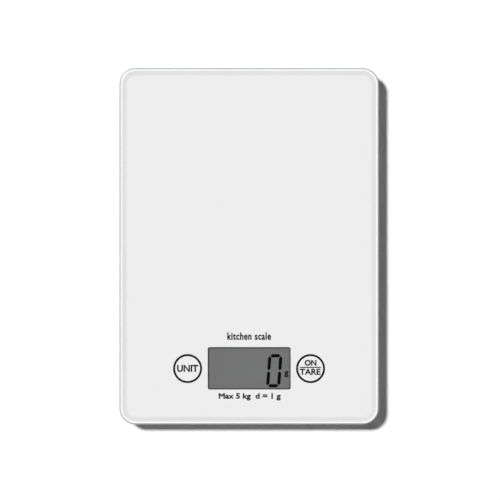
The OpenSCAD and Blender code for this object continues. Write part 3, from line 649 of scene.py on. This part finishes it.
def lettering(name, words, centre, width, height, grow, spacing=1.0, material=None, z0=INK_Z):
    """Inked letters of a given size over all, with strokes thickened by grow on each side, in mm."""
    flat = letter_shapes(words, width - 2 * grow, height - 2 * grow, spacing)
    points, polygons = thickened(flat, grow)
    flat.free()
    # Cut where they overlap, so that each bit of ink is there once; bits outside come from no polygon
    points, _, faces, _, _, sources = delaunay_2d_cdt(points, [], polygons, 0, SAME_POINT)
    bm = bmesh.new()
    verts = [bm.verts.new((centre[0] + x * MM, centre[1] + y * MM, z0)) for x, y in points]
    inked = [bm.faces.new([verts[i] for i in face]) for face, source in zip(faces, sources) if source]
    raise_faces(bm, inked, z0 + INK_T)
    for v in [v for v in bm.verts if not v.link_faces]:
        bm.verts.remove(v)
    new_piece(name, mesh_from(name, bm), "platform", "white_print", material or BLACK_INK)


def build_legends():
    """Key rings, their words, the capacity line, the generic name and the window's border: a dark grey
    ring, partly printed border and partly painted shade of the window's edge.
    """
    ring_r, ring_line = 7.95 * MM, 1.15 * MM
    key_y = DISPLAY_Y - 0.15 * MM
    for name, x in (("key_ring_unit", -KEY_X - 0.1 * MM), ("key_ring_tare", KEY_X)):
        loops = [circle_loop(r, 128, (x, key_y)) for r in (ring_r, ring_r - ring_line)]
        printed(name, loops, BLACK_INK)
    lettering("legend_unit", "UNIT", (-KEY_X - 0.1 * MM, DISPLAY_Y - 0.05 * MM), 11.6, 3.9, 0.2)
    lettering("legend_on", "ON", (KEY_X, DISPLAY_Y + 3.0 * MM), 6.5, 3.3, 0.19)
    lettering("legend_tare", "TARE", (KEY_X - 0.25 * MM, DISPLAY_Y - 1.9 * MM), 11.4, 3.4, 0.17)
    half_w, half_h = 5.8 * MM, 0.3 * MM
    bar = [(-half_w, -half_h), (half_w, -half_h), (half_w, half_h), (-half_w, half_h)]
    printed("legend_bar", [moved(bar, KEY_X - 0.1 * MM, DISPLAY_Y + 0.5 * MM)], BLACK_INK)
    capacity_at = (0.3 * MM, DISPLAY_Y - 15.6 * MM)
    lettering("legend_capacity", "Max 5 kg  d = 1 g", capacity_at, 34.0, 4.1, 0.18)
    lettering("legend_word", "kitchen scale", (0, DISPLAY_Y + 17.6 * MM), 24, 4.2, 0.17, 1.12)
    # The window's ring: a printed border darkened with painted shade of the window's edge, reaching a
    # little into the window
    border = [rounded_loop(WINDOW_W + wider * MM, WINDOW_D + wider * MM, r * MM, 8)
              for wider, r in ((0.2, 1.1), (-1.1, 0.7))]
    printed("window_border", [moved(loop, 0, DISPLAY_Y) for loop in border], BORDER_INK_AND_SHADE)


# ---- Display -------------------------------------------------------------------------------------

DIGIT_H = 18.15 * MM
DIGIT_W = 7.75 * MM
STROKE = 1.75 * MM
SLANT = 0.075


def segment(length, at, upright):
    """Outline of one bar of a digit: a long hexagon."""
    half, tip = length / 2, STROKE / 2
    shape = [(-half, 0), (-half + tip, -tip), (half - tip, -tip),
             (half, 0), (half - tip, tip), (-half + tip, tip)]
    if upright:
        shape = [(-y, x) for x, y in shape]
    return [(x + at[0], y + at[1]) for x, y in shape]


def build_digits():
    """The lit segments: a nought, and the g of its unit."""
    z0 = POLARISER_HIGH.z + INK_GAP
    column = (DIGIT_W - STROKE) / 2
    row = (DIGIT_H - STROKE) / 2
    gap = 0.25 * MM
    long, short = row - 2 * gap, 2 * column - 2 * gap
    bars = [segment(long, (sx * column, sy * row / 2), True) for sx in (-1, 1) for sy in (-1, 1)]
    bars += [segment(short, (0, sy * row), False) for sy in (-1, 1)]
    centre = Vector((13.75 * MM, DISPLAY_Y - 1.35 * MM))
    bm = bmesh.new()
    for bar in bars:
        ring = [bm.verts.new((centre.x + x + SLANT * y, centre.y + y, z0)) for x, y in bar]
        raise_faces(bm, [bm.faces.new(ring)], z0 + SEGMENT_T)
    new_piece("display_digit", mesh_from("display_digit", bm), "platform", "lcd_grey", SEGMENT_INK)
    unit_at = (20.4 * MM, DISPLAY_Y - 3.25 * MM)
    lettering("display_unit", "g", unit_at, 2.3, 3.4, 0.13, 1.0, SEGMENT_INK, z0)


# ---- CAD nodes with softened edges ---------------------------------------------------------------

# Width of each node's softened edges, in mm
SOFTENED = {
    "base_shell": 0.12, "battery_door": 0.12, "display_frame": 0.12, "platform_plate": 0.1,
    "platform_spacer": 0.05, "load_cell_base_plate": 0.08, "load_cell_screws": 0.06,
    "platform_screws": 0.06, "board_screws": 0.06, "circuit_board": 0.05, "lcd_front_glass": 0.08,
    "lcd_rear_glass": 0.08, "zebra_strips": 0.06, "board_capacitors": 0.06, "board_resistors": 0.03,
    "battery_contact_positive": 0.04, "battery_contact_negative": 0.04,
}
# Faces within this angle of each other are merged before their edges are softened,
# and so are points within this distance
COPLANAR = math.radians(0.5)
JOINED = 0.001 * MM


def soften(piece, width, segments):
    """Adds a bevel to a piece's sharp edges."""
    edge = piece.modifiers.new("edge", "BEVEL")
    edge.width = width * MM
    edge.segments = segments
    edge.limit_method = "ANGLE"
    edge.harden_normals = True
    return edge


def dress_nodes():
    """Gives each CAD node its slot's finished material, and breaks its sharp edges."""
    for node, slot in NODE_SLOTS.items():
        piece = NODES[node]
        piece.data.materials.clear()
        piece.data.materials.append(SLOT_MATERIALS[slot])
        if node in SOFTENED:
            weld = piece.modifiers.new("weld", "WELD")
            weld.merge_threshold = JOINED
            flat = piece.modifiers.new("flat", "DECIMATE")
            flat.decimate_type = "DISSOLVE"
            flat.angle_limit = COPLANAR
            soften(piece, SOFTENED[node], 2).angle_limit = math.radians(40)


def welded(node):
    """A bmesh of a CAD node, with its faces joined at their edges."""
    bm = bmesh.new()
    bm.from_mesh(NODES[node].data)
    bmesh.ops.remove_doubles(bm, verts=bm.verts, dist=JOINED)
    return bm


def final_mesh(piece):
    """A plain mesh of an object with its modifiers, or its letters, worked out."""
    graph = bpy.context.evaluated_depsgraph_get()
    return bpy.data.meshes.new_from_object(piece.evaluated_get(graph))


def finished(piece):
    """Turns the piece's modifiers into plain mesh."""
    mesh = final_mesh(piece)
    piece.modifiers.clear()
    piece.data = mesh
    return piece


def rounded_wire(node):
    """The node's tube, rounded by subdivision."""
    name = node + "_round"
    piece = free_piece(name, mesh_from(name, welded(node), 60), NODE_SLOTS[node])
    rounding = piece.modifiers.new("round", "SUBSURF")
    rounding.levels = rounding.render_levels = 1
    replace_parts(finished(piece), node)
    return piece


def build_wires():
    """Springs ride on the platform. Wires run from the base to the board, and ride on neither."""
    for spring in ("touch_spring_left", "touch_spring_right"):
        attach(rounded_wire(spring), "platform")
    for node in WIRES:
        low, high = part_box(node)
        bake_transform(rounded_wire(node))


def build_load_cell():
    """The beam, which on the real scale bends at its two eyes with its free end on the platform; here
    it and its gauges and sealant are only softened, and ride on nothing.
    """
    for node, edge_w in (("load_cell", 0.12), ("strain_gauges", 0.01), ("gauge_sealant", 0.25)):
        bm = welded(node)
        bmesh.ops.dissolve_limit(bm, angle_limit=COPLANAR, verts=bm.verts, edges=bm.edges)
        name = node + "_bent"
        piece = free_piece(name, mesh_from(name, bm), NODE_SLOTS[node])
        soften(piece, edge_w, 3)
        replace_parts(finished(piece), node)
        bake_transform(piece)


# ---- Detail --------------------------------------------------------------------------------------


def lathe(bm, profile, centre, steps=72):
    """Adds a turned solid; the profile runs (radius, height) from axis to axis, upwards."""
    rings = []
    for r, z in profile:
        if r == 0:
            rings.append([bm.verts.new((centre[0], centre[1], z))])
        else:
            rings.append([bm.verts.new((x, y, z)) for x, y in circle_loop(r, steps, centre)])
    for low, high in zip(rings, rings[1:]):
        for i in range(steps):
            j = (i + 1) % steps
            if len(low) == 1:
                bm.faces.new((low[0], high[j], high[i]))
            elif len(high) == 1:
                bm.faces.new((low[i], low[j], high[0]))
            else:
                bm.faces.new((low[i], low[j], high[j], high[i]))


def rounded_box(bm, low, high, r, segments=2):
    """Adds a box with rounded edges."""
    made = bmesh.ops.create_cube(bm, size=1.0)["verts"]
    for v in made:
        v.co = Vector([a + (c + 0.5) * (b - a) for a, b, c in zip(low, high, v.co)])
    edges = list(dict.fromkeys(e for v in made for e in v.link_edges))
    bmesh.ops.bevel(bm, geom=edges, offset=r, segments=segments, affect="EDGES", profile=0.5,
                    clamp_overlap=True)


def detail(name, bm, body, slot, smooth_under=35):
    return new_piece(name, mesh_from(name, bm, smooth_under), body, slot)


# (radius, height) from the middle of a foot out to its rim, in mm
FOOT_FACE = [
    (0, 0.12), (1.6, 0.12), (1.75, 0.05), (1.9, 0.0), (2.4, 0.0), (2.55, 0.1), (2.9, 0.1), (3.05, 0.0),
    (3.3, 0.0), (3.45, 0.25), (3.6, 0.4), (3.8, 0.45), (4.0, 0.4), (4.15, 0.25), (4.3, 0.0), (5.3, 0.0),
]


def build_feet():
    """Moulded feet with a dished face and two non-slip rings."""
    rim_r, top_edge = 0.6 * MM, 0.1 * MM
    for node in NODE_SLOTS:
        if not node.startswith("foot_"):
            continue
        low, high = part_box(node)
        r, top = (high.x - low.x) / 2, high.z
        profile = [(x * MM, z * MM) for x, z in FOOT_FACE]
        profile += arc((r - rim_r, rim_r), rim_r, 270, 360, 6)
        profile += [(r, top - top_edge), (r - top_edge, top), (0, top)]
        bm = bmesh.new()
        lathe(bm, profile, middle(low, high))
        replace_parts(detail(node + "_moulded", bm, "base", "foot_rubber"), node)


def build_coin_cell():
    """Pressed can with a rolled rim, a crimped seal and a raised cap; its plus mark faces the door."""
    low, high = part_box("coin_cell")
    centre = middle(low, high)
    r, z0, z1 = (high.x - low.x) / 2, low.z, high.z
    foot_r, roll_r, cap_r = 0.5 * MM, 0.35 * MM, 0.3 * MM
    dish_z, rim_z, seal_z = z0 + 0.04 * MM, z1 - roll_r, z1 - 0.65 * MM
    profile = [(0, dish_z), (r - 1.4 * MM, dish_z), (r - 1.2 * MM, z0)]
    profile += arc((r - foot_r, z0 + foot_r), foot_r, 270, 360, 6)
    profile += arc((r - roll_r, rim_z - roll_r), roll_r, 0, 90, 5)
    profile += [(r - 0.9 * MM, rim_z), (r - 1.1 * MM, seal_z), (r - 1.6 * MM, seal_z)]
    profile += arc((r - 2.0 * MM, z1 - cap_r), cap_r, 0, 90, 5) + [(0, z1)]
    bm = bmesh.new()
    lathe(bm, profile, centre, 96)
    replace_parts(detail("coin_cell_can", bm, "base", "coin_steel", 25), "coin_cell")
    arm, half = 1.6 * MM, 0.25 * MM
    cross = [(-half, -arm), (half, -arm), (half, -half), (arm, -half), (arm, half), (half, half),
             (half, arm), (-half, arm), (-half, half), (-arm, half), (-arm, -half), (-half, -half)]
    plus = extruded([moved(cross, *centre)], z0 + 0.01 * MM, z0 + 0.06 * MM)
    detail("coin_cell_plus", plus, "base", "coin_steel").data.materials[0] = ETCHED_STEEL


def build_door_arrow():
    """Moulded arrow on the door, standing a little proud, that shows which way the latch opens."""
    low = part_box("battery_door")[0]
    arrow_y = low.y + 17 * MM
    arrow = [(0, -3.2), (2.6, 0.2), (1.0, 0.2), (1.0, 3.4), (-1.0, 3.4), (-1.0, 0.2), (-2.6, 0.2)]
    outline = [(x * MM, arrow_y - y * MM) for x, y in arrow]
    raised = extruded([outline], low.z - 0.18 * MM, low.z + 0.05 * MM)
    detail("door_arrow", raised, "battery_door", "white_abs")


def islands(bm):
    """The separate solids of a bmesh, each as a set of its vertices."""
    met = set()
    for start in bm.verts:
        if start in met:
            continue
        island, todo = set(), [start]
        while todo:
            v = todo.pop()
            if v not in island:
                island.add(v)
                todo += [e.other_vert(v) for e in v.link_edges]
        met |= island
        yield island


def chip_end_caps():
    """Tinned ends of the small chip parts, a skin thicker all round than the body."""
    skin, cap, r = 0.03 * MM, 0.34 * MM, 0.06 * MM
    bm = bmesh.new()
    for node in ("board_capacitors", "board_resistors"):
        source = welded(node)
        for island in islands(source):
            low, high = ([end(v.co[axis] for v in island) for axis in range(3)] for end in (min, max))
            outer_low = [value - skin for value in low]
            outer_high = [high[0] + skin, high[1] + skin, high[2]]
            rounded_box(bm, outer_low, [low[0] + cap, *outer_high[1:]], r)
            rounded_box(bm, [high[0] - cap, *outer_low[1:]], outer_high, r)
        source.free()
    detail("chip_end_caps", bm, "platform", "contact_nickel")


def strip(bm, run, x, y, side, width, thickness):
    """Adds a bent flat strip; run lists (distance from y, height) along its middle."""
    rings = []
    for k, (out, z) in enumerate(run):
        before, after = Vector(run[max(k - 1, 0)]), Vector(run[min(k + 1, len(run) - 1)])
        along = (after - before).normalized()
        across = Vector((-along.y, along.x)) * thickness / 2
        ring = []
        for sx, sz in ((-1, -1), (1, -1), (1, 1), (-1, 1)):
            at = Vector((out, z)) + across * sz
            ring.append(bm.verts.new((x + sx * width / 2, y + side * at.x, at.y)))
        rings.append(ring)
    for a, b in zip(rings, rings[1:]):
        for i in range(4):
            j = (i + 1) % 4
            bm.faces.new((a[i], a[j], b[j], b[i]))
    bm.faces.new(rings[0][::-1])
    bm.faces.new(rings[-1])


# Along the middle of one leg of the converter: (out from the body's side, down from the board), in mm
LEG = [(-0.1, 0.72), (0.25, 0.72), (0.45, 0.62), (0.5, 0.22), (0.65, 0.12), (1.05, 0.12)]


def build_converter():
    """Moulded package with sixteen gull-wing legs, under the board."""
    low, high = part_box("converter_chip")
    x, y = middle(low, high)
    pitch, half_l, half_w = 1.27 * MM, 4.95 * MM, 1.95 * MM
    top = high.z - 0.1 * MM
    bm = bmesh.new()
    rounded_box(bm, (x - half_l, y - half_w, low.z), (x + half_l, y + half_w, top), 0.14 * MM, 3)
    body = detail("converter_body", bm, "platform", "chip_body")
    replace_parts(body, "converter_chip")
    legs = bmesh.new()
    run = [(half_w + out * MM, high.z - down * MM) for out, down in LEG]
    for i in range(8):
        for side in (-1, 1):
            strip(legs, run, x + (i - 3.5) * pitch, y, side, 0.42 * MM, 0.2 * MM)
    detail("converter_legs", legs, "platform", "contact_nickel", 50)


# (radius, height) of a solder cone under the board, in mm
SOLDER = [(0, -0.75), (0.35, -0.7), (0.5, -0.5), (0.62, -0.3), (0.85, -0.1), (1.1, 0.0), (0, 0.0)]


def build_board_detail():
    """Tinned pads under the touch springs, and solder cones where the wires meet the board."""
    board_low, board_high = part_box("circuit_board")
    pads = bmesh.new()
    for side in (-1, 1):
        at = (side * KEY_X, DISPLAY_Y)
        loops = [circle_loop(4.4 * MM, 64, at), circle_loop(1.6 * MM, 48, at)]
        ring = extruded(loops, board_high.z, board_high.z + 0.03 * MM)
        mesh = bpy.data.meshes.new("pad")
        ring.to_mesh(mesh)
        ring.free()
        pads.from_mesh(mesh)
        bpy.data.meshes.remove(mesh)
    detail("touch_pads", pads, "platform", "contact_nickel")
    cones = bmesh.new()
    profile = [(r * MM, board_low.z + z * MM) for r, z in SOLDER]
    for node in WIRES:
        tip = min((v.co for v in NODES[node].data.vertices), key=lambda co: co.y)
        lathe(cones, profile, (tip.x, tip.y + 0.4 * MM), 24)
    detail("solder_joints", cones, "platform", "contact_nickel", 60)


# ---- Stage ---------------------------------------------------------------------------------------


def build_floor():
    """A pale floor that can't be seen from below."""
    reach = 6.0
    mesh = bpy.data.meshes.new("floor")
    corners = [(-reach, -reach, 0), (reach, -reach, 0), (reach, reach, 0), (-reach, reach, 0)]
    mesh.from_pydata(corners, [], [(0, 1, 2, 3)])
    floor = placed("floor", mesh)
    s = Shader("floor", (0.96, 0.96, 0.96), 0.9, Specular_IOR_Level=0.0)
    s.tint(s.spread(s.noise(3, 2), 0.0, 0.3), (0.95, 0.95, 0.95))
    # It throws back less light than it shows, to keep the shadow deep
    rays = s.tree.nodes.new("ShaderNodeLightPath")
    s.tint(rays.outputs["Is Diffuse Ray"], (0.25, 0.25, 0.25))
    side = s.tree.nodes.new("ShaderNodeNewGeometry")
    shown = s.mix_shaders(side.outputs["Backfacing"], s.principled.outputs[0], s.clear())
    s.link(shown, s.output.inputs["Surface"])
    mesh.materials.append(s.material)
    floor.visible_shadow = False


def build_sun(name, energy, degrees, towards):
    """A sun, softened over an angle, that lies in the given direction from the object."""
    sun = bpy.data.lights.new(name, "SUN")
    sun.energy = energy
    sun.angle = math.radians(degrees)
    placed(name, sun).rotation_euler = Vector(towards).to_track_quat("Z", "Y").to_euler()


def build_lights():
    """The key, from the upper left, and a soft light from below the floor for the underside."""
    build_sun("key", 3.66, 9, (-0.43, 0.325, 1.0))
    build_sun("underside", 0.45, 25, (0.25, -0.35, -1.0))


def build_world():
    """A surround that is white to the camera, and otherwise lights or is mirrored as set out below."""
    world = bpy.data.worlds.new("studio")
    bpy.context.scene.world = world
    world.use_nodes = True
    tree = world.node_tree
    tree.nodes.clear()
    add, link = tree.nodes.new, tree.links.new
    split = add("ShaderNodeSeparateXYZ")
    link(add("ShaderNodeTexCoord").outputs["Generated"], split.inputs[0])
    height = split.outputs["Z"]

    # Soft light is brighter from low down: (place, level) from straight down (0) to straight up (1)
    levels = ((0.0, 0.5), (0.49, 0.5), (0.5, 0.2), (0.55, 0.12), (0.65, 0.02), (1.0, 0.01))
    span = add("ShaderNodeMapRange")
    span.inputs["From Min"].default_value = -1.0
    link(height, span.inputs["Value"])
    ramp = add("ShaderNodeValToRGB")
    link(span.outputs[0], ramp.inputs[0])
    stops = ramp.color_ramp.elements
    for at, level in levels[1:-1]:
        stops.new(at).color = (level, level, level, 1.0)
    for end in (0, -1):
        level = levels[end][1]
        stops[end].color = (level, level, level, 1.0)
    soft = add("ShaderNodeBackground")
    link(ramp.outputs[0], soft.inputs["Color"])

    # Glass and metal mirror a white tent that is open, and dark, straight overhead
    tent = add("ShaderNodeMapRange")
    for socket, number in zip(MAP_RANGE, (0.72, 0.92, 0.85, 0.02)):
        tent.inputs[socket].default_value = number
    link(height, tent.inputs["Value"])
    mirrored, seen = add("ShaderNodeBackground"), add("ShaderNodeBackground")
    link(tent.outputs[0], mirrored.inputs["Strength"])
    for white in (mirrored, seen):
        white.inputs["Color"].default_value = (1.0, 1.0, 1.0, 1.0)

    rays = add("ShaderNodeLightPath")
    shown = mirrored.outputs[0]
    for kind, other in (("Is Camera Ray", seen), ("Is Diffuse Ray", soft)):
        mix = add("ShaderNodeMixShader")
        for start, socket in zip((rays.outputs[kind], shown, other.outputs[0]), mix.inputs):
            link(start, socket)
        shown = mix.outputs[0]
    link(shown, add("ShaderNodeOutputWorld").inputs["Surface"])


def build_camera():
    """Straight down, on a long lens, with the object a little above the middle of the frame."""
    lens, sensor = 200.0, 36.0
    frame_width = 273.2 * MM
    aim = Vector((0.46 * MM, -2.05 * MM, GLASS_HIGH.z))
    data = bpy.data.cameras.new("camera")
    data.lens, data.sensor_width = lens, sensor
    camera = placed("camera", data)
    camera.location = aim + Vector((0, 0, frame_width * lens / sensor))
    bpy.context.scene.camera = camera
    bpy.context.scene.view_settings.view_transform = "Standard"


# ---- Assembly ------------------------------------------------------------------------------------

build_camera()
build_floor()
build_lights()
build_world()
dress_nodes()
build_glass()
build_legends()
build_digits()
build_wires()
build_load_cell()
build_feet()
build_coin_cell()
build_door_arrow()
chip_end_caps()
build_converter()
build_board_detail()

bpy.context.view_layer.update()
